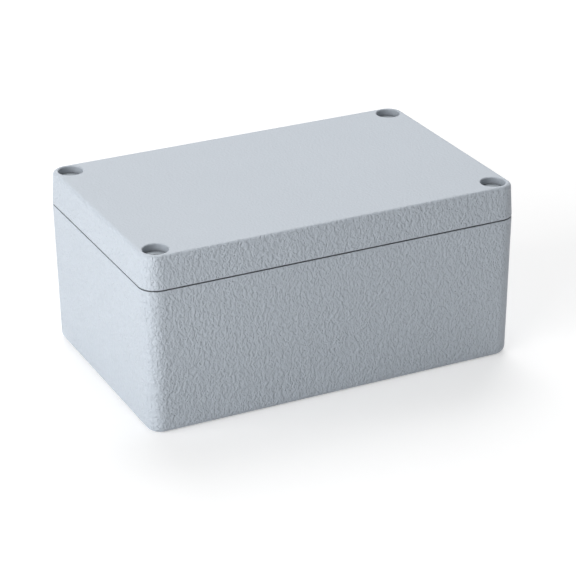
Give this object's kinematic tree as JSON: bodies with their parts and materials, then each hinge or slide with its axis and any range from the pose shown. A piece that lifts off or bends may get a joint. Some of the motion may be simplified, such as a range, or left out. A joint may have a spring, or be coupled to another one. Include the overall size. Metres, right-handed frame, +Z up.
{
  "type": "die cast aluminium box",
  "caption": "Rectangular die-cast aluminium enclosure with a screwed-down, gasketed lid, tapped bosses and an earth terminal inside, for housing terminals or circuits.",
  "frame": {"origin": "centre of the underside, on the surface that the box stands on", "axes": "+X along the length, +Y across the width from the front wall to the rear wall, +Z up through the lid"},
  "size_m": [0.125, 0.08, 0.058],
  "materials": {
    "coat": "silver-grey wrinkle powder coat",
    "screw_steel": "turned stainless steel",
    "seal_rubber": "matt black moulded rubber",
    "washer_plastic": "natural nylon",
    "saddle_brass": "pressed brass sheet"
  },
  "bodies": {
    "base": {"base_casting": "coat", "earth_screw": "screw_steel", "earth_spring_washer": "screw_steel", "earth_saddle": "saddle_brass"},
    "lid": {"lid_casting": "coat", "lid_seal": "seal_rubber", "captive_washer_front_left": "washer_plastic", "captive_washer_front_right": "washer_plastic", "captive_washer_rear_left": "washer_plastic", "captive_washer_rear_right": "washer_plastic"},
    "screw_front_left": {"lid_screw_front_left": "screw_steel"},
    "screw_front_right": {"lid_screw_front_right": "screw_steel"},
    "screw_rear_left": {"lid_screw_rear_left": "screw_steel"},
    "screw_rear_right": {"lid_screw_rear_right": "screw_steel"}
  },
  "joints": [
    {"name": "lid_lift", "type": "slide", "parent": "base", "child": "lid", "axis": [0, 0, 1], "range_m": [0, 0.08]},
    {"name": "screw_front_left_turn", "type": "hinge", "parent": "lid", "child": "screw_front_left", "pos_m": [-0.0565, -0.034, 0.0535], "axis": [0, 0, 1], "continuous": true},
    {"name": "screw_front_right_turn", "type": "hinge", "parent": "lid", "child": "screw_front_right", "pos_m": [0.0565, -0.034, 0.0535], "axis": [0, 0, 1], "continuous": true},
    {"name": "screw_rear_left_turn", "type": "hinge", "parent": "lid", "child": "screw_rear_left", "pos_m": [-0.0565, 0.034, 0.0535], "axis": [0, 0, 1], "continuous": true},
    {"name": "screw_rear_right_turn", "type": "hinge", "parent": "lid", "child": "screw_rear_right", "pos_m": [0.0565, 0.034, 0.0535], "axis": [0, 0, 1], "continuous": true}
  ]
}
